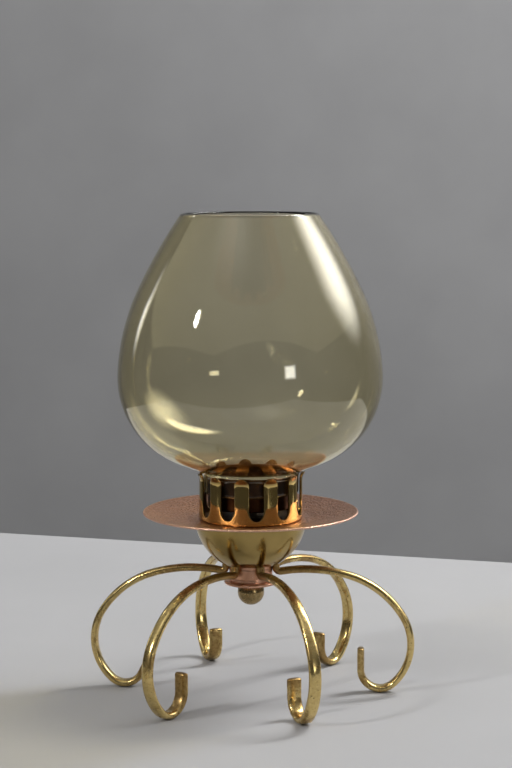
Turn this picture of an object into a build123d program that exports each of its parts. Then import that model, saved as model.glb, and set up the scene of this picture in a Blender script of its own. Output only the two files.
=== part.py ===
from build123d import *
import math
import os

# Table candlestick: a blown, smoke-tinted glass shade standing in a slotted brass gallery, on a
# shallow copper disc and a spun brass bowl. Six flattened brass legs leave a copper hub in big
# arcs and curl back in hooks that stand on the table. A thin candle cup inside the gallery is
# soldered to a nut, and one threaded rod from that nut to the ball below clamps the whole stack.
# Millimetres, +Z up, origin on the axis at table level, front towards -Y.

# ---- driving dimensions -------------------------------------------------------------------
SHADE_WALL = 1.6
SHADE_RIM_RADIUS = 31.6          # outside, at the fire-polished lip
SHADE_RIM_Z = 222.2
SHADE_RIM_HEADING = -55          # degrees, the wall's slope just under the lip
SHADE_SIDE = [(230, -10), (102, -22), (42, -71), (11.6, 0), (3.0, 68)]  # (radius, turn), last bends to the neck
SHADE_NECK_LENGTH = 6.5

GALLERY_RADIUS = 24.0            # outside of the upright wall
GALLERY_WALL = 1.0
GALLERY_FLOOR_Z = 81.5           # underside of the floor, on the disc
GALLERY_TIP_Z = 103.6            # outer edge of the finger tips, just under the glass
GALLERY_FLARE = 1.2              # how far the finger tips lean out
GALLERY_FLARE_HEIGHT = 4.0
SLOT_COUNT = 11
SLOT_WIDTH = 6.8
SLOT_BOTTOM_Z = 84.0
SLOT_BOTTOM_RISE = 5.0           # height of the rounded lower end of a slot
FIRST_SLOT_AZIMUTH = 6.5

DISC_RADIUS = 50.0
DISC_THICKNESS = 1.0
DISC_FLAT_RADIUS = 27.0          # flat middle under gallery and over bowl
DISC_RISE = 4.2                  # how much higher the rim stands than the middle

BOWL_RADIUS = 26.0
BOWL_CENTRE_Z = 83.1
BOWL_WALL = 1.0
BOWL_BOTTOM_Z = 60.7

HUB_RADIUS = 10.0
FLANGE_RADIUS = 12.4
FLANGE_THICKNESS = 1.5
FLANGE_BOTTOM_Z = 51.0

# leg section (tangential width, thickness, corner radius) at the root and at the tip
LEG_ROOT = (4.0, 3.6, 1.2)
LEG_TIP = (6.8, 3.4, 1.5)
LEG_AZIMUTHS = [22, 86, 140, 200, 263, 322.5]  # brazed on by hand, so not exactly 60 degrees apart
# (radius, turn) from the brazed root: down the hub, out, the big arc and the curl to its lowest point
LEG_RUNS = [(1.75, 0), (2.2, 100), (69.6, -26), (43.5, -43), (25.2, -79), (8.9, -42)]
# from the lowest point up to the tip, bent a little differently on each leg
LEG_HOOKS = [
    [(8.9, -90), (7.5, 0)],
    [(8.9, -90), (10.2, 0)],
    [(8.9, -90), (7.0, 0)],
    [(8.9, -90), (7.0, 0)],
    [(8.9, -64), (10.0, 0)],
    [(8.9, -90), (8.4, 0)],
]
LEG_TIP_ROUND = 0.9
LEG_SEAT_DEPTH = 0.2             # flat filed on the hub under each root

BALL_RADIUS = 6.2
BALL_CENTRE_Z = 46.9
ROD_RADIUS = 2.5
ROD_HOLE_RADIUS = 2.75
ROD_BOTTOM_Z = 43.5
WASHER_RADIUS = 7.0
WASHER_THICKNESS = 0.8
NUT_ACROSS_FLATS = 10.0
NUT_THICKNESS = 4.0
ROD_SHORT = 0.4                  # the rod ends this far below the nut's top

CUP_RADIUS = 20.0                # candle cup inside the gallery, clear of the shade's neck
CUP_WALL = 0.6
CUP_CORNER = 1.0
CUP_RIM_Z = 101.5

# ---- derived ------------------------------------------------------------------------------
DISC_BOTTOM_Z = GALLERY_FLOOR_Z - DISC_THICKNESS
FLANGE_TOP_Z = FLANGE_BOTTOM_Z + FLANGE_THICKNESS
WASHER_BOTTOM_Z = GALLERY_FLOOR_Z + GALLERY_WALL
WASHER_TOP_Z = WASHER_BOTTOM_Z + WASHER_THICKNESS
NUT_TOP_Z = WASHER_TOP_Z + NUT_THICKNESS
SLOT_PITCH = 360 / SLOT_COUNT


def around(azimuth):
    """Turns a piece made towards +X to an azimuth counted from the front (-Y) towards +X."""
    return Rot(0, 0, azimuth - 90)


def chain(start, heading, runs, offset=0):
    """Tangent lines and arcs in the XZ plane, moved sideways by offset to the left of travel.

    A run is (length, 0) for a straight or (radius, turn) for an arc, a left turn being positive.
    """
    angle = math.radians(heading)
    r = start[0] - offset * math.sin(angle)
    z = start[1] + offset * math.cos(angle)
    edges = []
    for size, turn in runs:
        if turn == 0:
            end = (r + size * math.cos(angle), z + size * math.sin(angle))
            edges.append(Line((r, 0, z), (end[0], 0, end[1])))
        else:
            side = math.copysign(1, turn)
            radius = size - side * offset
            centre = (r - side * radius * math.sin(angle), z + side * radius * math.cos(angle))
            half = angle + math.radians(turn / 2)
            angle += math.radians(turn)
            middle = (centre[0] + side * radius * math.sin(half), centre[1] - side * radius * math.cos(half))
            end = (centre[0] + side * radius * math.sin(angle), centre[1] - side * radius * math.cos(angle))
            edges.append(ThreePointArc((r, 0, z), (middle[0], 0, middle[1]), (end[0], 0, end[1])))
        r, z = end
    return edges, (r, z), math.degrees(angle)


def ring(outer, inner, bottom, height):
    """A plain turned ring standing on a height."""
    return Pos(0, 0, bottom) * extrude(Circle(outer) - Circle(inner), height)


def glass_shade():
    """Blown shade: thin wall along one tangent chain, round lip, neck that drops in the gallery."""
    runs = SHADE_SIDE + [(SHADE_NECK_LENGTH, 0)]
    outer, foot, _ = chain((SHADE_RIM_RADIUS, SHADE_RIM_Z), SHADE_RIM_HEADING, runs)
    inner, inner_foot, _ = chain((SHADE_RIM_RADIUS, SHADE_RIM_Z), SHADE_RIM_HEADING, runs, -SHADE_WALL)
    lip_angle = math.radians(SHADE_RIM_HEADING)
    middle_r = SHADE_RIM_RADIUS + SHADE_WALL / 2 * math.sin(lip_angle)
    middle_z = SHADE_RIM_Z - SHADE_WALL / 2 * math.cos(lip_angle)
    lip_top = (middle_r - SHADE_WALL / 2 * math.cos(lip_angle), 0, middle_z - SHADE_WALL / 2 * math.sin(lip_angle))
    lip = ThreePointArc(outer[0] @ 0, lip_top, inner[0] @ 0)
    neck_end = ThreePointArc(
        (foot[0], 0, foot[1]),
        ((foot[0] + inner_foot[0]) / 2, 0, foot[1] - SHADE_WALL / 2),
        (inner_foot[0], 0, inner_foot[1]),
    )
    return revolve(make_face(outer + [neck_end] + inner + [lip]), Axis.Z)


def slot_cutter():
    """What is cut away between two finger centres: a round-bottomed slot and the tips' outer rounds."""
    half_pitch = GALLERY_RADIUS * math.sin(math.radians(SLOT_PITCH / 2))
    tip_radius = half_pitch - SLOT_WIDTH / 2
    tip_centre_z = GALLERY_TIP_Z - tip_radius
    bottom_centre_z = SLOT_BOTTOM_Z + SLOT_BOTTOM_RISE
    height = tip_centre_z - bottom_centre_z
    slot = Pos(0, bottom_centre_z + height / 2) * Rectangle(SLOT_WIDTH, height)
    slot += Pos(0, bottom_centre_z) * Ellipse(SLOT_WIDTH / 2, SLOT_BOTTOM_RISE)
    crown_height = tip_radius + 1
    crown = Pos(0, tip_centre_z + crown_height / 2) * Rectangle(2 * half_pitch, crown_height)
    for side in (-1, 1):
        crown -= Pos(side * half_pitch, tip_centre_z) * Circle(tip_radius)
    outward = Plane(origin=(0, 0, 0), x_dir=(0, 1, 0), z_dir=(1, 0, 0))
    return extrude(outward * (slot + crown), GALLERY_RADIUS + 8)


def gallery():
    """Spun brass cup with flared fingers between open slots."""
    flare_z = GALLERY_TIP_Z - GALLERY_FLARE_HEIGHT
    flare_radius = (GALLERY_FLARE_HEIGHT ** 2 + GALLERY_FLARE ** 2) / (2 * GALLERY_FLARE)
    flare_turn = math.degrees(math.asin(GALLERY_FLARE_HEIGHT / flare_radius))
    corner = 1.5
    flat = GALLERY_RADIUS - corner - ROD_HOLE_RADIUS
    wall = flare_z - GALLERY_FLOOR_Z - corner
    runs = [(flat, 0), (corner, 90), (wall, 0), (flare_radius, -flare_turn)]
    outer, top, _ = chain((ROD_HOLE_RADIUS, GALLERY_FLOOR_Z), 0, runs)
    inner, inner_top, _ = chain((ROD_HOLE_RADIUS, GALLERY_FLOOR_Z), 0, runs, GALLERY_WALL)
    ends = [Line(outer[0] @ 0, inner[0] @ 0), Line(outer[-1] @ 1, inner[-1] @ 1)]
    cup = revolve(make_face(outer + inner + ends), Axis.Z)
    cutter = slot_cutter()
    for index in range(SLOT_COUNT):
        cup -= around(FIRST_SLOT_AZIMUTH + index * SLOT_PITCH) * cutter
    return cup


def copper_disc():
    """Thin dished disc with a flat middle and a rounded edge."""
    bend_radius = 16.0
    slope = math.degrees(math.atan2(DISC_RISE, DISC_RADIUS - DISC_FLAT_RADIUS))
    flat = DISC_FLAT_RADIUS - ROD_HOLE_RADIUS
    rest = DISC_RADIUS - DISC_THICKNESS / 2 - DISC_FLAT_RADIUS - bend_radius * math.sin(math.radians(slope))
    runs = [(flat, 0), (bend_radius, slope), (rest / math.cos(math.radians(slope)), 0)]
    under, _, _ = chain((ROD_HOLE_RADIUS, DISC_BOTTOM_Z), 0, runs)
    upper, _, _ = chain((ROD_HOLE_RADIUS, DISC_BOTTOM_Z), 0, runs, DISC_THICKNESS)
    bottom_end = under[-1] @ 1
    top_end = upper[-1] @ 1
    outward = Vector(math.cos(math.radians(slope)), 0, math.sin(math.radians(slope)))
    edge = ThreePointArc(bottom_end, (bottom_end + top_end) / 2 + outward * (DISC_THICKNESS / 2), top_end)
    return revolve(make_face(under + upper + [edge, Line(under[0] @ 0, upper[0] @ 0)]), Axis.Z)


def bowl():
    """Spun bowl: a spherical shell cut flat below, closed above by the disc."""
    ball = Pos(0, 0, BOWL_CENTRE_Z)
    between = BOWL_BOTTOM_Z + (DISC_BOTTOM_Z - BOWL_BOTTOM_Z) / 2
    slab = Pos(0, 0, between) * Cylinder(2 * BOWL_RADIUS, DISC_BOTTOM_Z - BOWL_BOTTOM_Z)
    cavity = Pos(0, 0, between + BOWL_WALL) * Cylinder(2 * BOWL_RADIUS, DISC_BOTTOM_Z - BOWL_BOTTOM_Z)
    shell = (ball * Sphere(BOWL_RADIUS)) & slab
    shell -= (ball * Sphere(BOWL_RADIUS - BOWL_WALL)) & cavity
    return shell - Pos(0, 0, BOWL_BOTTOM_Z) * Cylinder(ROD_HOLE_RADIUS, 4 * BOWL_WALL)


def hub_sleeve():
    """Turned copper spacer with a filed seat under each leg root."""
    height = BOWL_BOTTOM_Z - FLANGE_TOP_Z
    sleeve = ring(HUB_RADIUS, ROD_HOLE_RADIUS, FLANGE_TOP_Z, height)
    seat = Pos(HUB_RADIUS, 0, FLANGE_TOP_Z + height / 2) * Box(2 * LEG_SEAT_DEPTH, LEG_ROOT[0], height)
    for azimuth in LEG_AZIMUTHS:
        sleeve -= around(azimuth) * seat
    return sleeve


def hub_flange():
    """Round copper plate under the hub, with a rounded rim."""
    plate = ring(FLANGE_RADIUS, ROD_HOLE_RADIUS, FLANGE_BOTTOM_Z, FLANGE_THICKNESS)
    rim = [edge for edge in plate.edges().filter_by(GeomType.CIRCLE) if edge.radius > HUB_RADIUS]
    return fillet(rim, 0.6)


def leg(hook):
    """Rod hammered flatter and wider from its root to its tip, made towards +X; hook is its last two runs."""
    root_radius = HUB_RADIUS - LEG_SEAT_DEPTH + LEG_ROOT[1] / 2
    edges, tip, _ = chain((root_radius, BOWL_BOTTOM_Z), -90, LEG_RUNS + hook)
    along = edges[-1] % 1
    root_plane = Plane(origin=(root_radius, 0, BOWL_BOTTOM_Z), x_dir=(0, 1, 0), z_dir=(0, 0, -1))
    tip_plane = Plane(origin=(tip[0], 0, tip[1]), x_dir=(0, 1, 0), z_dir=along)
    sections = [root_plane * RectangleRounded(*LEG_ROOT), tip_plane * RectangleRounded(*LEG_TIP)]
    bar = sweep(sections, path=Wire(edges), multisection=True)
    tip_face = bar.faces().sort_by_distance((tip[0], 0, tip[1]))[0]
    return fillet(tip_face.edges(), LEG_TIP_ROUND)


def ball_nut():
    """Ball with a flat top against the flange and a blind threaded hole."""
    ball = Pos(0, 0, BALL_CENTRE_Z) * Sphere(BALL_RADIUS)
    ball -= Pos(0, 0, FLANGE_BOTTOM_Z + BALL_RADIUS) * Cylinder(2 * BALL_RADIUS, 2 * BALL_RADIUS)
    return ball - Pos(0, 0, ROD_BOTTOM_Z) * extrude(Circle(ROD_RADIUS), BALL_RADIUS * 2)


def candle_cup():
    """Thin spun cup with a plain floor, standing on the top nut."""
    wall = CUP_RIM_Z - NUT_TOP_Z - CUP_CORNER
    runs = [(CUP_RADIUS - CUP_CORNER, 0), (CUP_CORNER, 90), (wall, 0)]
    outer, _, _ = chain((0, NUT_TOP_Z), 0, runs)
    inner, _, _ = chain((0, NUT_TOP_Z), 0, runs, CUP_WALL)
    ends = [Line(outer[0] @ 0, inner[0] @ 0), Line(outer[-1] @ 1, inner[-1] @ 1)]
    return revolve(make_face(outer + inner + ends), Axis.Z)


def top_nut():
    """Hexagon nut on the gallery floor's washer, soldered under the candle cup."""
    hexagon = RegularPolygon(NUT_ACROSS_FLATS / 2, 6, major_radius=False) - Circle(ROD_RADIUS)
    return Pos(0, 0, WASHER_TOP_Z) * extrude(hexagon, NUT_THICKNESS)


def save(name, piece):
    """Writes one named piece."""
    export_step(piece, "parts/" + name + ".step")


os.makedirs("parts", exist_ok=True)
save("glass_shade", glass_shade())
save("gallery", gallery())
save("copper_disc", copper_disc())
save("bowl", bowl())
save("hub_sleeve", hub_sleeve())
save("hub_flange", hub_flange())
for number, (azimuth, hook) in enumerate(zip(LEG_AZIMUTHS, LEG_HOOKS), 1):
    save("leg_" + str(number), around(azimuth) * leg(hook))
save("ball_nut", ball_nut())
rod_height = NUT_TOP_Z - ROD_SHORT - ROD_BOTTOM_Z
save("tie_rod", Pos(0, 0, ROD_BOTTOM_Z) * extrude(Circle(ROD_RADIUS), rod_height))
save("washer", ring(WASHER_RADIUS, ROD_HOLE_RADIUS, WASHER_BOTTOM_Z, WASHER_THICKNESS))
save("top_nut", top_nut())
save("candle_cup", candle_cup())
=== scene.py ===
import math

import bmesh
import bpy
import numpy as np
from mathutils import Matrix, Vector


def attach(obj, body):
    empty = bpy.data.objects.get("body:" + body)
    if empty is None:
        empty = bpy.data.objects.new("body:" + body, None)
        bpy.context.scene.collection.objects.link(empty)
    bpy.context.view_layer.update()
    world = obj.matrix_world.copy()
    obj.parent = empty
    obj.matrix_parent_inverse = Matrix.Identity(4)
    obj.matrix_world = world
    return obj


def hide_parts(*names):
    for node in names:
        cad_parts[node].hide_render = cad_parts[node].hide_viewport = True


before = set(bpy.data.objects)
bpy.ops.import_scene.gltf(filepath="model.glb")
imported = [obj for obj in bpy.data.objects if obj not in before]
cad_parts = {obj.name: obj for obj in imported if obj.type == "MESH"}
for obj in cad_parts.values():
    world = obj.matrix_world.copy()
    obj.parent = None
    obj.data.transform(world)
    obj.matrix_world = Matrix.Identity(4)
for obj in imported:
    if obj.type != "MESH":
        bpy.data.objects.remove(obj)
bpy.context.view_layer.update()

MM = 0.001

# ---- sizes of the CAD pieces, repeated in millimetres --------------------------------------
# A run is (length, 0) for a straight or (radius, turn in degrees) for an arc.
SHADE_WALL = 1.6
SHADE_RIM = (31.6, 222.2)
SHADE_RIM_HEADING = -55
SHADE_SIDE = [(230, -10), (102, -22), (42, -71), (11.6, 0), (3.0, 68), (6.5, 0)]

GALLERY_RADIUS = 24.0
GALLERY_WALL = 1.0
GALLERY_FLOOR_Z = 81.5
GALLERY_TIP_Z = 103.6
GALLERY_CORNER = 1.5
FLARE = 1.2
FLARE_HEIGHT = 4.0
SLOT_COUNT = 11
SLOT_WIDTH = 6.8
SLOT_BOTTOM_Z = 84.0
SLOT_BOTTOM_RISE = 5.0
FIRST_SLOT_AZIMUTH = 6.5
HOLE_RADIUS = 2.75

DISC_RADIUS = 50.0
DISC_THICKNESS = 1.0
DISC_FLAT_RADIUS = 27.0
DISC_RISE = 4.2
DISC_BEND_RADIUS = 16.0

BOWL_RADIUS = 26.0
BOWL_CENTRE_Z = 83.1
BOWL_WALL = 1.0
BOWL_BOTTOM_Z = 60.7

HUB_RADIUS = 10.0
FLANGE_RADIUS = 12.4
FLANGE_BOTTOM_Z = 51.0
FLANGE_THICKNESS = 1.5

LEG_ROOT = (4.0, 3.6)
LEG_TIP = (6.8, 3.4)
LEG_START = (11.6, 60.7)
LEG_RUNS = [(1.75, 0), (2.2, 100), (69.6, -26), (43.5, -43), (25.2, -79), (8.9, -42)]
LEG_HOOKS = [
    [(8.9, -90), (7.5, 0)],
    [(8.9, -90), (10.2, 0)],
    [(8.9, -90), (7.0, 0)],
    [(8.9, -90), (7.0, 0)],
    [(8.9, -64), (10.0, 0)],
    [(8.9, -90), (8.4, 0)],
]
LEG_AZIMUTHS = [22, 86, 140, 200, 263, 322.5]

BALL_RADIUS = 6.2
BALL_CENTRE_Z = 46.9

CUP_RADIUS = 20.0
CUP_WALL = 0.6
CUP_CORNER = 1.0
CUP_BOTTOM_Z = 87.3
CUP_RIM_Z = 101.5

# ---- derived sizes of the gallery's fingers ------------------------------------------------
FINGER_HALF_PITCH = GALLERY_RADIUS * math.sin(math.pi / SLOT_COUNT)
TIP_RADIUS = FINGER_HALF_PITCH - SLOT_WIDTH / 2
TIP_CENTRE_Z = GALLERY_TIP_Z - TIP_RADIUS
SLOT_CENTRE_Z = SLOT_BOTTOM_Z + SLOT_BOTTOM_RISE

# ---- details that only the visual pieces have, in millimetres -------------------------------
FINGER_EDGE_ROLL = 0.28
FINGER_EDGE_ROUND = 0.22
HUB_GROOVE_DEPTH = 0.10
HUB_GROOVE_WIDTH = 0.25
HUB_GROOVES_ABOVE_FLANGE = (1.6, 6.4)
AXIS_GAP = 0.001


# ---- shapes -------------------------------------------------------------------------------
def chain(start, heading, runs, offset=0.0, step=0.5):
    """Points of tangent runs in an (r, z) plane, moved sideways by offset to the left of travel."""
    angle = math.radians(heading)
    r = start[0] - offset * math.sin(angle)
    z = start[1] + offset * math.cos(angle)
    points = [(r, z)]
    for size, turn in runs:
        if turn == 0:
            count = max(1, round(size / step))
            for k in range(1, count + 1):
                reach = size * k / count
                points.append((r + reach * math.cos(angle), z + reach * math.sin(angle)))
        else:
            side = math.copysign(1, turn)
            radius = size - side * offset
            centre_r = r - side * radius * math.sin(angle)
            centre_z = z + side * radius * math.cos(angle)
            count = max(6, round(radius * abs(math.radians(turn)) / step))
            for k in range(1, count + 1):
                a = angle + math.radians(turn) * k / count
                points.append((centre_r + side * radius * math.sin(a),
                               centre_z - side * radius * math.cos(a)))
            angle += math.radians(turn)
        r, z = points[-1]
    return points


def rounded_end(start, end, count=5):
    """Points between the two ends of a wall, in a half circle to the right of start-to-end."""
    middle_r = (start[0] + end[0]) / 2
    middle_z = (start[1] + end[1]) / 2
    radius = math.dist(start, end) / 2
    first = math.atan2(start[1] - middle_z, start[0] - middle_r)
    turns = [first + math.pi * k / (count + 1) for k in range(1, count + 1)]
    return [(middle_r + radius * math.cos(a), middle_z + radius * math.sin(a)) for a in turns]


def lathe(profile, segments, radius_change=None):
    """Points and faces of a closed (r, z) profile turned about Z; r may change with the angle."""
    rows = len(profile)
    points = []
    for s in range(segments):
        a = 2 * math.pi * s / segments
        for r, z in profile:
            reach = r + (radius_change(a, r, z) if radius_change else 0)
            points.append((reach * math.cos(a), reach * math.sin(a), z))
    faces = []
    for s in range(segments):
        n = (s + 1) % segments
        for k in range(rows):
            m = (k + 1) % rows
            faces.append((s * rows + k, n * rows + k, n * rows + m, s * rows + m))
    return points, faces


def piece_from(name, points, faces, body, material, node):
    """A smooth mesh from millimetre points that rides on a body and stands for a CAD node."""
    mesh = bpy.data.meshes.new(name)
    mesh.from_pydata((np.asarray(points) * MM).tolist(), [], faces)
    work = bmesh.new()
    work.from_mesh(mesh)
    bmesh.ops.remove_doubles(work, verts=work.verts, dist=1e-6)
    bmesh.ops.recalc_face_normals(work, faces=work.faces)
    work.to_mesh(mesh)
    work.free()
    mesh.shade_smooth()
    mesh.set_sharp_from_angle(angle=math.radians(38))
    mesh.materials.append(material)
    piece = bpy.data.objects.new(name, mesh)
    bpy.context.scene.collection.objects.link(piece)
    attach(piece, body)
    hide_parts(node)
    return piece


def apply_modifiers(piece):
    """Turns a piece's modifiers into its own mesh."""
    depsgraph = bpy.context.evaluated_depsgraph_get()
    mesh = bpy.data.meshes.new_from_object(piece.evaluated_get(depsgraph))
    piece.modifiers.clear()
    piece.data = mesh


# ---- materials ----------------------------------------------------------------------------
class Nodes:
    """A small builder for one material's node tree."""

    def __init__(self, name):
        self.material = bpy.data.materials.new(name)
        self.material.use_nodes = True
        self.tree = self.material.node_tree
        self.tree.nodes.clear()
        self.output = self.add("ShaderNodeOutputMaterial")
        self.shader = self.add("ShaderNodeBsdfPrincipled")
        self.link(self.shader, "BSDF", self.output, "Surface")
        self.place = self.add("ShaderNodeTexCoord")

    def add(self, kind, **settings):
        node = self.tree.nodes.new(kind)
        for key, value in settings.items():
            setattr(node, key, value)
        return node

    def link(self, source, out, target, into):
        self.tree.links.new(source.outputs[out], target.inputs[into])

    def source_of(self, socket):
        """The node that feeds a socket of the shader."""
        return self.shader.inputs[socket].links[0].from_node

    def stretched(self, scale):
        """Object coordinates scaled per axis."""
        mapping = self.add("ShaderNodeMapping")
        mapping.inputs["Scale"].default_value = scale
        self.link(self.place, "Object", mapping, "Vector")
        return mapping

    def turned(self, scale_r, scale_z, scale_a=0.0):
        """Lathe coordinates: distance from the Z axis, height and angle, each scaled."""
        split = self.add("ShaderNodeSeparateXYZ")
        self.link(self.place, "Object", split, "Vector")
        flat = self.add("ShaderNodeCombineXYZ")
        self.link(split, "X", flat, "X")
        self.link(split, "Y", flat, "Y")
        length = self.add("ShaderNodeVectorMath", operation="LENGTH")
        self.link(flat, "Vector", length, "Vector")
        angle = self.combined("ARCTAN2", (split, "Y"), (split, "X"))
        joined = self.add("ShaderNodeCombineXYZ")
        self.link(self.combined("MULTIPLY", (length, "Value"), scale_r), 0, joined, "X")
        self.link(self.combined("MULTIPLY", (split, "Z"), scale_z), 0, joined, "Y")
        self.link(self.combined("MULTIPLY", (angle, 0), scale_a), 0, joined, "Z")
        return joined

    def radius_and_height(self):
        """A node with the distance from the Z axis on X and the height on Y, in millimetres."""
        parts = self.add("ShaderNodeSeparateXYZ")
        self.link(self.turned(1 / MM, 1 / MM), "Vector", parts, "Vector")
        return parts

    def noise(self, coordinates, scale, detail=3.0, roughness=0.55, distortion=0.0):
        node = self.add("ShaderNodeTexNoise")
        node.inputs["Scale"].default_value = scale
        node.inputs["Detail"].default_value = detail
        node.inputs["Roughness"].default_value = roughness
        node.inputs["Distortion"].default_value = distortion
        self.link(coordinates, "Vector", node, "Vector")
        return node

    def ramp(self, source, out, stops):
        """A colour ramp from (position, colour or grey) stops."""
        node = self.add("ShaderNodeValToRGB")
        elements = node.color_ramp.elements
        while len(elements) < len(stops):
            elements.new(0.5)
        for element, (position, colour) in zip(elements, stops):
            if not isinstance(colour, tuple):
                colour = (colour, colour, colour)
            element.position = position
            element.color = (*colour, 1)
        self.link(source, out, node, "Fac")
        return node

    def span(self, source, out, start, end, low=0.0, high=1.0):
        """A value carried from start..end to low..high and held beyond them."""
        node = self.add("ShaderNodeMapRange")
        node.inputs["From Min"].default_value = start
        node.inputs["From Max"].default_value = end
        node.inputs["To Min"].default_value = low
        node.inputs["To Max"].default_value = high
        self.link(source, out, node, "Value")
        return node

    def combined(self, operation, *operands):
        """A sum, product or the like of numbers and (node, output) pairs."""
        node = self.add("ShaderNodeMath", operation=operation)
        for index, operand in enumerate(operands):
            if isinstance(operand, tuple):
                self.link(*operand, node, index)
            else:
                node.inputs[index].default_value = operand
        return node

    def mixed(self, factor, out, first, second):
        """A mix of two colours or colour nodes by a factor; its colour is output 2."""
        node = self.add("ShaderNodeMix", data_type="RGBA")
        self.link(factor, out, node, "Factor")
        for socket, value in ((6, first), (7, second)):
            if isinstance(value, tuple):
                node.inputs[socket].default_value = (*value, 1)
            else:
                self.link(value, 2 if value.type == "MIX" else 0, node, socket)
        return node

    def bump(self, source, out, distance, strength=1.0, below=None):
        """A bump on top of another one, its height in metres."""
        node = self.add("ShaderNodeBump")
        node.inputs["Distance"].default_value = distance
        node.inputs["Strength"].default_value = strength
        self.link(source, out, node, "Height")
        if below:
            self.link(below, "Normal", node, "Normal")
        return node


def metal(name, scale, tones, roughness):
    """A metal whose colour and roughness wander between two tones and two roughnesses."""
    n = Nodes(name)
    place = n.stretched(scale)
    tone = n.noise(place, 1.0, 4.0)
    wander = n.noise(place, 2.7, 5.0)
    colours = n.ramp(tone, "Fac", [(0.35, tones[0]), (0.65, tones[1])])
    rough = n.span(wander, "Fac", 0.3, 0.7, *roughness)
    n.shader.inputs["Metallic"].default_value = 1.0
    n.link(colours, 0, n.shader, "Base Color")
    n.link(rough, "Result", n.shader, "Roughness")
    return n


def polished_brass():
    """Mirror brass, with painted shade in dark browns inside the gallery and at the finger tips."""
    n = metal("polished_brass", (90, 90, 60),
              ((0.72, 0.50, 0.17), (0.80, 0.585, 0.215)), (0.05, 0.10))
    ripple = n.noise(n.turned(0, 60, 3.0), 1.0, 1.0)
    fine = n.noise(n.stretched((900, 900, 3000)), 1.0, 2.0)
    low = n.bump(ripple, "Fac", 0.00010, 0.5)
    top = n.bump(fine, "Fac", 0.000004, 0.6, low)
    n.link(top, "Normal", n.shader, "Normal")

    # inside: nearer the axis than the middle of the wall, which leans out with the flare
    parts = n.radius_and_height()
    lean = n.span(parts, "Y", GALLERY_TIP_Z - FLARE_HEIGHT, GALLERY_TIP_Z, 0.0, 1.1)
    upright = n.combined("SUBTRACT", (parts, "X"), (lean, "Result"))
    inner_radius = GALLERY_RADIUS - GALLERY_WALL
    within = n.span(upright, 0, inner_radius + 0.15, inner_radius + 0.45, 1.0, 0.0)
    floor_top = GALLERY_FLOOR_Z + GALLERY_WALL
    above = n.span(parts, "Y", floor_top - 0.3, floor_top - 0.1)
    inside = n.combined("MULTIPLY", (within, "Result"), (above, "Result"))
    # painted shade: the inside of the cup and the top of the fingers are turned dark brown
    tips = n.span(parts, "Y", GALLERY_TIP_Z - 3.8, GALLERY_TIP_Z - 2.0, 0.0, 0.8)
    painted_shade_share = n.combined("MAXIMUM", (inside, 0), (tips, "Result"))

    shade_mottle = n.noise(n.stretched((300, 300, 300)), 1.0, 3.0)
    painted_shade_browns = n.ramp(shade_mottle, "Fac", [(0.3, (0.055, 0.026, 0.01)), (0.7, (0.11, 0.055, 0.02))])
    colour = n.mixed(painted_shade_share, 0, n.source_of("Base Color"), painted_shade_browns)
    n.link(colour, 2, n.shader, "Base Color")
    rough = n.combined("MULTIPLY_ADD", (inside, 0), 0.5, (n.source_of("Roughness"), "Result"))
    n.link(rough, 0, n.shader, "Roughness")
    return n.material


def brushed_copper():
    """Satin copper with a fine crossed grain and brown patches, and a painted highlight that makes
    it a little brighter at its edge.
    """
    n = Nodes("brushed_copper")
    weave_a = n.noise(n.stretched((3600, 420, 900)), 1.0, 2.0)
    weave_b = n.noise(n.stretched((420, 3600, 900)), 1.0, 2.0)
    dents = n.add("ShaderNodeTexVoronoi", feature="SMOOTH_F1")
    dents.inputs["Scale"].default_value = 900
    n.link(n.place, "Object", dents, "Vector")
    patches = n.noise(n.stretched((70, 70, 70)), 1.0, 6.0, 0.7)
    grain = n.ramp(dents, "Distance", [(0.1, (0.22, 0.095, 0.052)), (0.6, (0.58, 0.325, 0.225))])
    cloud = n.ramp(patches, "Fac", [(0.3, (0.29, 0.145, 0.08)), (0.55, (0.42, 0.215, 0.13)),
                                    (0.75, (0.56, 0.315, 0.21))])
    share = n.ramp(weave_b, "Fac", [(0.35, 0.25), (0.65, 0.6)])
    face = n.mixed(share, 0, cloud, grain)
    # painted highlight: the outer rim is paler, where its rounded edge catches light
    edge = n.span(n.radius_and_height(), "X", DISC_RADIUS - 1.2, DISC_RADIUS - 0.4)
    colour = n.mixed(edge, "Result", face, (0.72, 0.45, 0.33))
    rough = n.ramp(weave_a, "Fac", [(0.3, 0.26), (0.7, 0.42)])
    first = n.bump(dents, "Distance", 0.0006, 0.8)
    second = n.bump(weave_a, "Fac", 0.00006, 0.7, first)
    third = n.bump(weave_b, "Fac", 0.00006, 0.7, second)
    n.shader.inputs["Metallic"].default_value = 1.0
    n.link(colour, 2, n.shader, "Base Color")
    n.link(rough, 0, n.shader, "Roughness")
    n.link(third, "Normal", n.shader, "Normal")
    return n.material


def satin_brass():
    """Spun brass with fine turning lines."""
    n = metal("satin_brass", (60, 60, 60), ((0.33, 0.235, 0.08), (0.42, 0.30, 0.11)), (0.14, 0.22))
    lines = n.noise(n.turned(4000, 4000), 1.0, 2.0)
    ripple = n.noise(n.stretched((70, 70, 70)), 1.0, 1.0)
    low = n.bump(ripple, "Fac", 0.0002, 0.25)
    top = n.bump(lines, "Fac", 0.000008, 0.7, low)
    n.link(top, "Normal", n.shader, "Normal")
    return n.material


def turned_copper():
    """Copper with turning lines."""
    n = metal("hub_copper", (150, 150, 150), ((0.60, 0.31, 0.19), (0.74, 0.43, 0.29)), (0.26, 0.38))
    lines = n.noise(n.turned(5000, 5000), 1.0, 2.0)
    top = n.bump(lines, "Fac", 0.00003, 0.8)
    n.link(top, "Normal", n.shader, "Normal")
    return n.material


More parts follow.
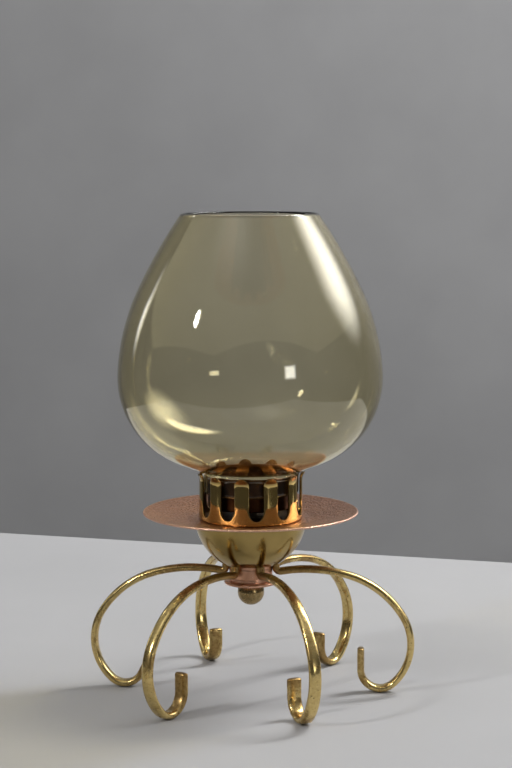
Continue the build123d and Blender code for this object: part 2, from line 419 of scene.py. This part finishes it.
def leg_brass():
    """Polished brass, with clouds of brown tarnish, painted shade near the hub under the bowl and
    low inside the hooks, and small dark specks.
    """
    n = Nodes("leg_brass")
    clouds = n.noise(n.stretched((85, 85, 85)), 1.0, 6.0, 0.7, 0.6)
    fine = n.noise(n.stretched((700, 700, 700)), 1.0, 4.0, 0.6)
    specks = n.noise(n.stretched((950, 950, 950)), 1.0, 2.0)
    parts = n.radius_and_height()
    # painted shade: brown near the hub, under the bowl, and low inside the hooks; the clouds are
    # tarnish
    hub_shade = n.span(parts, "X", 14, 50, 0.30, 0.0)
    low = n.span(parts, "Y", 34, 20)
    hook_shade = n.span(parts, "X", 64, 54, 0.0, 0.12)
    tarnish_and_hub_shade = n.combined("ADD", (clouds, "Fac"), (hub_shade, "Result"))
    tarnish_and_shade = n.combined("MULTIPLY_ADD", (low, "Result"), (hook_shade, "Result"), (tarnish_and_hub_shade, 0))

    clean = n.ramp(fine, "Fac", [(0.3, (0.62, 0.46, 0.17)), (0.7, (0.79, 0.61, 0.27))])
    brown = n.ramp(fine, "Fac", [(0.3, (0.20, 0.115, 0.038)), (0.7, (0.38, 0.235, 0.085))])
    share = n.ramp(tarnish_and_shade, 0, [(0.50, 0.0), (0.66, 0.85)])
    tarnished_and_shaded = n.mixed(share, 0, clean, brown)
    spots = n.ramp(specks, "Fac", [(0.64, 0.0), (0.70, 0.85)])
    colour = n.mixed(spots, 0, tarnished_and_shaded, (0.10, 0.055, 0.02))
    rough = n.ramp(tarnish_and_shade, 0, [(0.45, 0.19), (0.7, 0.36)])
    first = n.bump(clouds, "Fac", 0.0002, 0.3)
    top = n.bump(fine, "Fac", 0.00003, 0.6, first)
    n.shader.inputs["Metallic"].default_value = 1.0
    n.link(colour, 2, n.shader, "Base Color")
    n.link(rough, 0, n.shader, "Roughness")
    n.link(top, "Normal", n.shader, "Normal")
    return n.material


def aged_brass(name, tones, roughness):
    """Dull brass with a fine grain."""
    n = metal(name, (260, 260, 260), tones, roughness)
    fine = n.noise(n.stretched((1200, 1200, 1200)), 1.0, 3.0)
    top = n.bump(fine, "Fac", 0.00001, 0.5)
    n.link(top, "Normal", n.shader, "Normal")
    return n.material


def shaded_steel():
    """Steel painted dark and warm, as painted shade inside the gallery."""
    tones = ((0.20, 0.17, 0.13), (0.30, 0.26, 0.21))
    return metal("hardware_steel", (400, 400, 400), tones, (0.3, 0.42)).material


def smoked_glass():
    """Smoke-tinted glass whose colour comes from its volume; the lamps' light passes through it."""
    n = Nodes("smoked_glass")
    glass = n.shader
    glass.inputs["Transmission Weight"].default_value = 1.0
    glass.inputs["IOR"].default_value = 1.5
    wander = n.noise(n.stretched((60, 60, 22)), 1.0, 1.0)
    tint = n.ramp(wander, "Fac", [(0.3, (0.97, 0.965, 0.94)), (0.7, (0.99, 0.985, 0.965))])
    rough = n.ramp(wander, "Fac", [(0.3, 0.0), (0.8, 0.01)])
    n.link(tint, 0, glass, "Base Color")
    n.link(rough, 0, glass, "Roughness")
    path = n.add("ShaderNodeLightPath")
    clear = n.add("ShaderNodeBsdfTransparent")
    clear.inputs["Color"].default_value = (0.91, 0.905, 0.89, 1)
    either = n.add("ShaderNodeMixShader")
    n.link(path, "Is Shadow Ray", either, 0)
    n.link(glass, "BSDF", either, 1)
    n.link(clear, "BSDF", either, 2)
    n.link(either, 0, n.output, "Surface")
    smoke = n.add("ShaderNodeVolumeAbsorption")
    smoke.inputs["Color"].default_value = (0.84, 0.735, 0.25, 1)
    smoke.inputs["Density"].default_value = 225
    n.link(smoke, "Volume", n.output, "Volume")
    return n.material


def matt(name, colour, roughness=0.6, mottle=0.015):
    """A stage surface: a plain matt colour with a faint mottle."""
    n = Nodes(name)
    patches = n.noise(n.stretched((6, 6, 6)), 1.0, 3.0)
    low = tuple(c - mottle for c in colour)
    high = tuple(c + mottle for c in colour)
    shade = n.ramp(patches, "Fac", [(0.3, low), (0.7, high)])
    n.link(shade, 0, n.shader, "Base Color")
    n.shader.inputs["Roughness"].default_value = roughness
    return n.material


# ---- pieces -------------------------------------------------------------------------------
def make_shade(material):
    """Blown shade: a thin wall with a round lip and a neck, very slightly out of round."""
    outer = chain(SHADE_RIM, SHADE_RIM_HEADING, SHADE_SIDE, 0, 1.0)
    inner = chain(SHADE_RIM, SHADE_RIM_HEADING, SHADE_SIDE, -SHADE_WALL, 1.0)
    foot = rounded_end(inner[-1], outer[-1])[::-1]
    lip = rounded_end(outer[0], inner[0])[::-1]

    def blown(angle, r, z):
        """At most an eighth of a millimetre inward, fading out at the neck and the lip."""
        fade = min(1.0, max(0.0, (z - 104) / 20)) * min(1.0, max(0.0, (222.4 - z) / 12))
        wave = math.sin(2 * angle + 0.6)
        wave += 0.5 * math.sin(3 * angle + z / 23)
        wave += 0.3 * math.sin(5 * angle - z / 11)
        return -0.035 * fade * (1.8 + wave)

    points, faces = lathe(outer + foot + inner[::-1] + lip, 300, blown)
    return piece_from("shade_glass", points, faces, "shade", material,
                      "glass_shade")


def finger_half_width(z):
    """Half the width of a gallery finger, along the wall, at a height."""
    if z <= SLOT_BOTTOM_Z:
        return FINGER_HALF_PITCH
    if z < SLOT_CENTRE_Z:
        drop = (SLOT_CENTRE_Z - z) / SLOT_BOTTOM_RISE
        return FINGER_HALF_PITCH - SLOT_WIDTH / 2 * math.sqrt(max(0.0, 1 - drop ** 2))
    if z <= TIP_CENTRE_Z:
        return TIP_RADIUS
    return math.sqrt(max(0.0, TIP_RADIUS ** 2 - (z - TIP_CENTRE_Z) ** 2))


def gallery_outline():
    """The gallery's outer (r, z) line from floor hole to finger tips, denser along its rounds."""
    flare_radius = (FLARE_HEIGHT ** 2 + FLARE ** 2) / (2 * FLARE)
    flat = GALLERY_RADIUS - GALLERY_CORNER - HOLE_RADIUS
    floor_runs = [(flat, 0), (GALLERY_CORNER, 90)]
    line = chain((HOLE_RADIUS, GALLERY_FLOOR_Z), 0, floor_runs, 0, 0.3)
    quarter = np.radians(np.linspace(0, 90, 24)[1:])
    heights = [GALLERY_FLOOR_Z + GALLERY_CORNER + 0.5, SLOT_BOTTOM_Z]
    heights += [SLOT_CENTRE_Z - SLOT_BOTTOM_RISE * math.cos(a) for a in quarter]
    heights += list(np.linspace(SLOT_CENTRE_Z, TIP_CENTRE_Z, 16)[1:])
    heights += [TIP_CENTRE_Z + TIP_RADIUS * math.sin(a) for a in quarter]
    for z in heights:
        rise = max(0.0, z - (GALLERY_TIP_Z - FLARE_HEIGHT))
        lean = flare_radius - math.sqrt(flare_radius ** 2 - rise ** 2)
        line.append((GALLERY_RADIUS + lean, z))
    return line


def trim_tips(piece):
    """Brings what stands above the rounded outline of the finger tips down to it."""
    pitch = 2 * math.pi / SLOT_COUNT
    for vertex in piece.data.vertices:
        x, y, z = vertex.co / MM
        if z > TIP_CENTRE_Z:
            aside = (math.atan2(y, x) - math.radians(FIRST_SLOT_AZIMUTH - 90)) % pitch - pitch / 2
            across = math.hypot(x, y) * math.sin(aside)
            top = TIP_CENTRE_Z + math.sqrt(max(0.0, TIP_RADIUS ** 2 - across ** 2))
            vertex.co.z = min(z, top) * MM


def make_gallery(material):
    """Slotted cup: a strip per finger from the floor hole up, joined below the slots, thickened."""
    line = gallery_outline()
    across_count = 15
    points = []
    faces = []
    for finger in range(SLOT_COUNT):
        middle = math.radians(FIRST_SLOT_AZIMUTH - 90 + (finger + 0.5) * 360 / SLOT_COUNT)
        base = len(points)
        for r, z in line:
            half = math.asin(min(1.0, finger_half_width(z) / GALLERY_RADIUS))
            free = min(1.0, max(0.0, (z - SLOT_BOTTOM_Z) / 6))
            for k in range(across_count):
                side = 2 * k / (across_count - 1) - 1
                a = middle + half * side
                reach = r - FINGER_EDGE_ROLL * free * side ** 4
                points.append((reach * math.cos(a), reach * math.sin(a), z))
        for row in range(len(line) - 1):
            for k in range(across_count - 1):
                i = base + row * across_count + k
                faces.append((i, i + 1, i + across_count + 1, i + across_count))
    piece = piece_from("gallery_brass", points, faces, "stand", material,
                       "gallery")
    thick = piece.modifiers.new("wall", "SOLIDIFY")
    thick.thickness = GALLERY_WALL * MM
    thick.offset = -1
    thick.use_even_offset = True
    soft = piece.modifiers.new("edges", "BEVEL")
    soft.width = FINGER_EDGE_ROUND * MM
    soft.segments = 3
    soft.limit_method = "ANGLE"
    soft.angle_limit = math.radians(50)
    apply_modifiers(piece)
    trim_tips(piece)
    return piece


def make_disc(material):
    """Dished copper disc with a rounded, slightly uneven edge."""
    slope = math.atan2(DISC_RISE, DISC_RADIUS - DISC_FLAT_RADIUS)
    flat = DISC_FLAT_RADIUS - HOLE_RADIUS
    rest = DISC_RADIUS - DISC_THICKNESS / 2 - DISC_FLAT_RADIUS - DISC_BEND_RADIUS * math.sin(slope)
    runs = [(flat, 0), (DISC_BEND_RADIUS, math.degrees(slope)), (rest / math.cos(slope), 0)]
    start = (HOLE_RADIUS, GALLERY_FLOOR_Z - DISC_THICKNESS)
    under = chain(start, 0, runs, 0, 0.8)
    upper = chain(start, 0, runs, DISC_THICKNESS, 0.8)

    def uneven(angle, r, z):
        """Up to a third of a millimetre inward at the edge, fading out towards the middle."""
        share = max(0.0, (r - 40) / 10)
        return -0.09 * share * (1 + math.sin(3 * angle + 0.7)) * (0.6 + 0.4 * math.sin(7 * angle))

    profile = under + rounded_end(under[-1], upper[-1]) + upper[::-1]
    points, faces = lathe(profile, 288, uneven)
    return piece_from("disc_copper", points, faces, "stand", material,
                      "copper_disc")


def make_bowl(material):
    """Spun spherical bowl with a flat bottom and a softened lower edge."""
    top = math.asin((GALLERY_FLOOR_Z - DISC_THICKNESS - BOWL_CENTRE_Z) / BOWL_RADIUS)
    low = math.asin((BOWL_BOTTOM_Z + 0.5 - BOWL_CENTRE_Z) / BOWL_RADIUS)
    inner_radius = BOWL_RADIUS - BOWL_WALL
    floor_z = BOWL_BOTTOM_Z + BOWL_WALL
    outer = []
    inner = []
    for a in np.linspace(top, low, 60):
        outer.append((BOWL_RADIUS * math.cos(a), BOWL_CENTRE_Z + BOWL_RADIUS * math.sin(a)))
        inner.append((inner_radius * math.cos(a), BOWL_CENTRE_Z + inner_radius * math.sin(a)))
    inner = [point for point in inner if point[1] > floor_z]
    edge_r = outer[-1][0]
    foot = [(edge_r - 0.35, BOWL_BOTTOM_Z + 0.12), (edge_r - 0.9, BOWL_BOTTOM_Z),
            (HOLE_RADIUS, BOWL_BOTTOM_Z), (HOLE_RADIUS, floor_z), (inner[-1][0] - 0.3, floor_z)]
    points, faces = lathe(outer + foot + inner[::-1], 224)
    return piece_from("bowl_brass", points, faces, "stand", material, "bowl")


def make_hub(material):
    """Turned sleeve with two shallow grooves, and the flange below it with a rounded rim."""
    flange_top = FLANGE_BOTTOM_Z + FLANGE_THICKNESS
    side = [(HUB_RADIUS, flange_top)]
    for z in np.linspace(flange_top + 0.3, BOWL_BOTTOM_Z - 0.3, 60):
        groove = sum(math.exp(-((z - flange_top - place) / HUB_GROOVE_WIDTH) ** 2)
                     for place in HUB_GROOVES_ABOVE_FLANGE)
        side.append((HUB_RADIUS - HUB_GROOVE_DEPTH * groove, z))
    side += [(HUB_RADIUS - 0.1, BOWL_BOTTOM_Z), (HOLE_RADIUS, BOWL_BOTTOM_Z)]
    side += [(HOLE_RADIUS, flange_top)]
    points, faces = lathe(side, 128)
    piece_from("hub_spacer", points, faces, "stand", material, "hub_sleeve")

    rim_r = FLANGE_RADIUS - FLANGE_THICKNESS / 2
    start, end = (rim_r, FLANGE_BOTTOM_Z), (rim_r, flange_top)
    ring = [(HOLE_RADIUS, FLANGE_BOTTOM_Z), start] + rounded_end(start, end, 9)
    ring += [end, (HOLE_RADIUS, flange_top)]
    points, faces = lathe(ring, 160)
    piece_from("hub_plate", points, faces, "stand", material, "hub_flange")


def hammered(length, *waves):
    """A factor just under 1 that dips along a leg; each wave is (depth, pace, phase)."""
    return 1 - sum(depth * (1 + math.sin(length / pace + phase)) for depth, pace, phase in waves)


def make_leg(number, azimuth, hook, material):
    """Hammered rod on the leg's line, growing flatter and wider from its root to its domed tip."""
    line = chain(LEG_START, -90, LEG_RUNS + hook, 0, 0.4)
    steps = [math.dist(a, b) for a, b in zip(line, line[1:])]
    lengths = np.concatenate([[0], np.cumsum(steps)])
    total = lengths[-1]
    turn = math.radians(azimuth - 90)
    chance = np.random.default_rng(40 + number)
    phases = chance.uniform(0, 2 * math.pi, 4)
    around = 32
    points = []
    faces = []
    for index, ((r, z), length) in enumerate(zip(line, lengths)):
        before = line[max(0, index - 1)]
        after = line[min(len(line) - 1, index + 1)]
        heading = math.atan2(after[1] - before[1], after[0] - before[0])
        share = length / total
        width = (LEG_ROOT[0] + (LEG_TIP[0] - LEG_ROOT[0]) * share)
        width *= hammered(length, (0.010, 4.1, phases[0]), (0.006, 1.9, phases[1]))
        thick = (LEG_ROOT[1] + (LEG_TIP[1] - LEG_ROOT[1]) * share)
        thick *= hammered(length, (0.010, 3.3, phases[2]), (0.005, 1.6, phases[3]))
        left = total - length
        dome = 0.62 + 0.38 * math.sqrt(max(0.0, 1 - (1 - left) ** 2)) if left < 1.0 else 1.0
        squareness = 0.86 - 0.12 * share
        for k in range(around):
            a = 2 * math.pi * k / around
            ca, sa = math.cos(a), math.sin(a)
            across = width / 2 * math.copysign(abs(ca) ** squareness, ca) * (1 - (1 - dome) * 0.6)
            up = thick / 2 * math.copysign(abs(sa) ** squareness, sa) * dome
            point_r = r - up * math.sin(heading)
            point_z = z + up * math.cos(heading)
            points.append((point_r * math.cos(turn) - across * math.sin(turn),
                           point_r * math.sin(turn) + across * math.cos(turn), point_z))
    rows = len(line)
    for row in range(rows - 1):
        for k in range(around):
            m = (k + 1) % around
            i = row * around
            faces.append((i + k, i + m, i + around + m, i + around + k))
    faces.append(tuple(range(around - 1, -1, -1)))
    faces.append(tuple((rows - 1) * around + k for k in range(around)))
    name = "leg_" + str(number)
    return piece_from(name + "_bar", points, faces, "stand", material, name)


def make_ball(material):
    """Ball with a flat seat on top."""
    half_gap = AXIS_GAP / 2
    top = math.asin((FLANGE_BOTTOM_Z - BALL_CENTRE_Z) / BALL_RADIUS)
    side = []
    for a in np.linspace(top, math.radians(-90), 48):
        r = max(half_gap, BALL_RADIUS * math.cos(a))
        side.append((r, BALL_CENTRE_Z + BALL_RADIUS * math.sin(a)))
    side.append((half_gap, FLANGE_BOTTOM_Z))
    points, faces = lathe(side, 96)
    return piece_from("ball_knob", points, faces, "stand", material, "ball_nut")


def make_cup(material):
    """Thin spun candle cup with a rounded rim."""
    start = (AXIS_GAP, CUP_BOTTOM_Z)
    side = CUP_RIM_Z - CUP_BOTTOM_Z - CUP_CORNER - CUP_WALL / 2
    runs = [(CUP_RADIUS - CUP_CORNER - AXIS_GAP, 0), (CUP_CORNER, 90), (side, 0)]
    outer = chain(start, 0, runs, 0, 0.4)
    inner = chain(start, 0, runs, CUP_WALL, 0.4)
    points, faces = lathe(outer + rounded_end(outer[-1], inner[-1]) + inner[::-1], 160)
    return piece_from("cup_liner", points, faces, "stand", material, "candle_cup")


# ---- camera, stage and light --------------------------------------------------------------
def camera():
    """Long lens a little above the shade's rim, where the object fills the frame."""
    data = bpy.data.cameras.new("camera")
    data.lens = 92.9
    data.sensor_width = 36
    eye = bpy.data.objects.new("camera", data)
    bpy.context.scene.collection.objects.link(eye)
    eye.location = (0.00265, -0.9059, 0.2488)
    pitch = Matrix.Rotation(math.radians(90 - 6.59), 3, "X")
    roll = Matrix.Rotation(math.radians(-0.18), 3, "Z")
    eye.rotation_euler = (pitch @ roll).to_euler()
    bpy.context.scene.camera = eye


def slab(name, low, high, material):
    """A closed box of the stage."""
    corners = [(x, y, z) for x in (low[0], high[0]) for y in (low[1], high[1])
               for z in (low[2], high[2])]
    faces = [(0, 1, 3, 2), (4, 6, 7, 5), (0, 4, 5, 1), (2, 3, 7, 6), (0, 2, 6, 4), (1, 5, 7, 3)]
    mesh = bpy.data.meshes.new(name)
    mesh.from_pydata(corners, [], faces)
    mesh.materials.append(material)
    thing = bpy.data.objects.new(name, mesh)
    bpy.context.scene.collection.objects.link(thing)
    return thing


def toward(azimuth, elevation, distance):
    """A place around the shade, its azimuth counted from the front (-Y) towards +X."""
    a, e = math.radians(azimuth), math.radians(elevation)
    flat = distance * math.cos(e)
    return (flat * math.sin(a), -flat * math.cos(a), 0.15 + distance * math.sin(e))


def soft_box(name, place, target, size, power, falloff=1.0, square=False):
    """A lamp that faces a target and fades out, over a share of its half size, to a round or
    square edge."""
    data = bpy.data.lights.new(name, "AREA")
    data.shape = "RECTANGLE"
    data.size, data.size_y = size
    data.energy = power
    data.use_nodes = True
    tree = data.node_tree
    where = tree.nodes.new("ShaderNodeNewGeometry")
    centred = tree.nodes.new("ShaderNodeMapping")
    centred.inputs["Location"].default_value = (-1, -1, 0)
    centred.inputs["Scale"].default_value = (2, 2, 1)
    tree.links.new(where.outputs["Parametric"], centred.inputs["Vector"])
    if square:
        sides = tree.nodes.new("ShaderNodeVectorMath")
        sides.operation = "ABSOLUTE"
        tree.links.new(centred.outputs["Vector"], sides.inputs[0])
        split = tree.nodes.new("ShaderNodeSeparateXYZ")
        tree.links.new(sides.outputs[0], split.inputs[0])
        reach = tree.nodes.new("ShaderNodeMath")
        reach.operation = "MAXIMUM"
        tree.links.new(split.outputs["X"], reach.inputs[0])
        tree.links.new(split.outputs["Y"], reach.inputs[1])
    else:
        reach = tree.nodes.new("ShaderNodeVectorMath")
        reach.operation = "LENGTH"
        tree.links.new(centred.outputs["Vector"], reach.inputs[0])
    fade = tree.nodes.new("ShaderNodeMapRange")
    fade.interpolation_type = "SMOOTHSTEP"
    fade.inputs["From Min"].default_value = 1.0
    fade.inputs["From Max"].default_value = 1.0 - falloff
    tree.links.new(reach.outputs[0 if square else "Value"], fade.inputs["Value"])
    tree.links.new(fade.outputs["Result"], tree.nodes["Emission"].inputs["Strength"])
    lamp = bpy.data.objects.new(name, data)
    bpy.context.scene.collection.objects.link(lamp)
    lamp.location = place
    lamp.rotation_euler = (Vector(target) - Vector(place)).to_track_quat("-Z", "Y").to_euler()
    return lamp


def room(floor, horizon, ceiling):
    """A plain studio surround that is brighter overhead than at the horizon."""
    world = bpy.data.worlds.new("room")
    bpy.context.scene.world = world
    world.use_nodes = True
    tree = world.node_tree
    place = tree.nodes.new("ShaderNodeTexCoord")
    split = tree.nodes.new("ShaderNodeSeparateXYZ")
    tree.links.new(place.outputs["Generated"], split.inputs["Vector"])
    height = tree.nodes.new("ShaderNodeMapRange")
    height.inputs["From Min"].default_value = -1.0
    tree.links.new(split.outputs["Z"], height.inputs["Value"])
    blend = tree.nodes.new("ShaderNodeValToRGB")
    blend.color_ramp.elements.new(0.5)
    blend.color_ramp.elements.new(0.58)
    stops = ((0.0, floor), (0.5, horizon), (0.62, horizon), (1.0, ceiling))
    for element, (position, colour) in zip(blend.color_ramp.elements, stops):
        element.position = position
        element.color = (*colour, 1)
    tree.links.new(height.outputs["Result"], blend.inputs["Fac"])
    tree.links.new(blend.outputs["Color"], tree.nodes["Background"].inputs["Color"])


# ---- build --------------------------------------------------------------------------------
make_shade(smoked_glass())
make_gallery(polished_brass())
make_disc(brushed_copper())
make_bowl(satin_brass())
make_hub(turned_copper())
leg_metal = leg_brass()
for number, (azimuth, hook) in enumerate(zip(LEG_AZIMUTHS, LEG_HOOKS), 1):
    make_leg(number, azimuth, hook, leg_metal)
make_ball(aged_brass("ball_brass", ((0.31, 0.22, 0.10), (0.34, 0.25, 0.12)), (0.22, 0.30)))
# painted shade: the candle cup's near-black brass stands for the shade inside the gallery
make_cup(aged_brass("dark_brass", ((0.038, 0.018, 0.008), (0.058, 0.028, 0.012)), (0.34, 0.44)))
steel = shaded_steel()
for node in ("tie_rod", "washer", "top_nut"):
    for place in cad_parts[node].material_slots:
        place.material = steel

camera()
table_paint = matt("table_paint", (0.385, 0.385, 0.392))
table = slab("table", (-0.42, -0.34, -0.03), (0.45, 0.3225, 0.0), table_paint)
table.rotation_euler = (0, 0, math.radians(-17.4))
slab("wall", (-4, 2.4, -1.5), (4, 2.5, 3.0), matt("wall_paint", (0.30, 0.30, 0.305)))
room((0.025, 0.025, 0.025), (0.055, 0.054, 0.053), (0.47, 0.465, 0.46))
middle = (0, 0, 0.12)
soft_box("key", toward(-54, 30, 2.0), middle, (0.16, 0.34), 28, falloff=0.4)
soft_box("window_right", toward(113, 31, 1.8), middle, (1.6, 1.7), 76)
soft_box("window_front", toward(34, 6, 2.6), middle, (0.52, 0.36), 6, falloff=0.5, square=True)
soft_box("lamp_back_left", toward(-128, 37, 2.2), middle, (0.14, 0.14), 3)
soft_box("window_left", toward(-122, 14, 2.2), middle, (0.35, 1.1), 6)
soft_box("ceiling", toward(-35, 62, 2.2), middle, (2.0, 1.5), 7)
soft_box("wall_wash", (1.5, 1.0, 2.2), (0.7, 2.4, 0.2), (2.4, 0.8), 320)
bpy.context.scene.view_settings.view_transform = "Standard"
